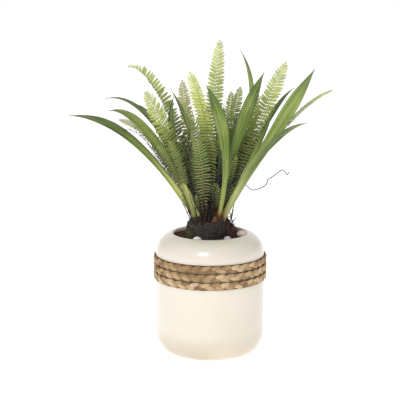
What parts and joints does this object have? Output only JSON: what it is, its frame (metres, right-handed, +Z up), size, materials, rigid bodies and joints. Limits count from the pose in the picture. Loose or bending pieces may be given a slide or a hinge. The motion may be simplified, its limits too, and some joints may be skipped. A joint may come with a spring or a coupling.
{
  "type": "potted fern",
  "caption": "Fern fronds, strap leaves and fine dark sprays on a mossy root mound in a round-shouldered cream glazed pot with a band of plaited rope.",
  "frame": {"origin": "centre of the pot's flat foot, on the surface it stands on", "axes": "+Z up along the pot's axis, -Y to the pictured front, +X to the picture's right"},
  "size_m": [0.3884, 0.2516, 0.4831],
  "materials": {
    "cream_glaze": "gloss",
    "rope": "plaited plant fibre",
    "soil": "crumbly, matt",
    "moss": "matt, rough",
    "pale_stone": "smooth, matt",
    "mauve_stone": "smooth, matt",
    "cream_stone": "smooth, matt",
    "strap_leaf": "satin leaf",
    "fern_leaf": "satin leaf",
    "dark_spray": "matt",
    "dry_sheath": "papery",
    "dry_wood": "matt bark",
    "tendril": "matt"
  },
  "bodies": {
    "root": {"pot": "cream_glaze", "braid_row_bottom": "rope", "braid_row_middle": "rope", "braid_row_top": "rope", "soil": "soil", "root_mound": "moss", "pebble_white": "pale_stone", "pebble_mauve": "mauve_stone", "pebble_cream": "cream_stone", "pebble_back_cream": "cream_stone", "pebble_back_white": "pale_stone", "strap_leaf_left_long": "strap_leaf", "strap_leaf_left_rear": "strap_leaf", "strap_leaf_left_upper": "strap_leaf", "strap_leaf_left_back": "strap_leaf", "strap_leaf_left_inner": "strap_leaf", "strap_leaf_left_narrow": "strap_leaf", "strap_leaf_left_short": "strap_leaf", "strap_leaf_front_broad": "strap_leaf", "strap_leaf_front_rear": "strap_leaf", "strap_leaf_right_tall": "strap_leaf", "strap_leaf_right_upright": "strap_leaf", "strap_leaf_right_inner": "strap_leaf", "strap_leaf_right_long": "strap_leaf", "strap_leaf_right_kinked": "strap_leaf", "strap_leaf_right_low": "strap_leaf", "strap_leaf_right_olive": "strap_leaf", "strap_leaf_back_left": "strap_leaf", "strap_leaf_back_right": "strap_leaf", "fern_frond_tall": "fern_leaf", "fern_frond_front": "fern_leaf", "fern_frond_front_low": "fern_leaf", "fern_frond_upright": "fern_leaf", "fern_frond_pink": "fern_leaf", "fern_frond_left_high": "fern_leaf", "fern_frond_left_bright": "fern_leaf", "fern_frond_left_low": "fern_leaf", "fern_frond_centre_olive": "fern_leaf", "fern_frond_centre_back": "fern_leaf", "fern_frond_right_bright": "fern_leaf", "fern_frond_right_back": "fern_leaf", "fern_frond_right_far": "fern_leaf", "fern_frond_back_left": "fern_leaf", "fern_frond_back_right": "fern_leaf", "dark_spray_left_front": "dark_spray", "dark_spray_left_rear": "dark_spray", "dark_spray_left_upright": "dark_spray", "dark_spray_left_foot": "dark_spray", "dark_spray_centre": "dark_spray", "dark_spray_front": "dark_spray", "dark_spray_centre_back": "dark_spray", "dark_spray_right": "dark_spray", "dry_sheath": "dry_sheath", "dry_twig": "dry_wood", "tendril": "tendril"}
  },
  "joints": []
}
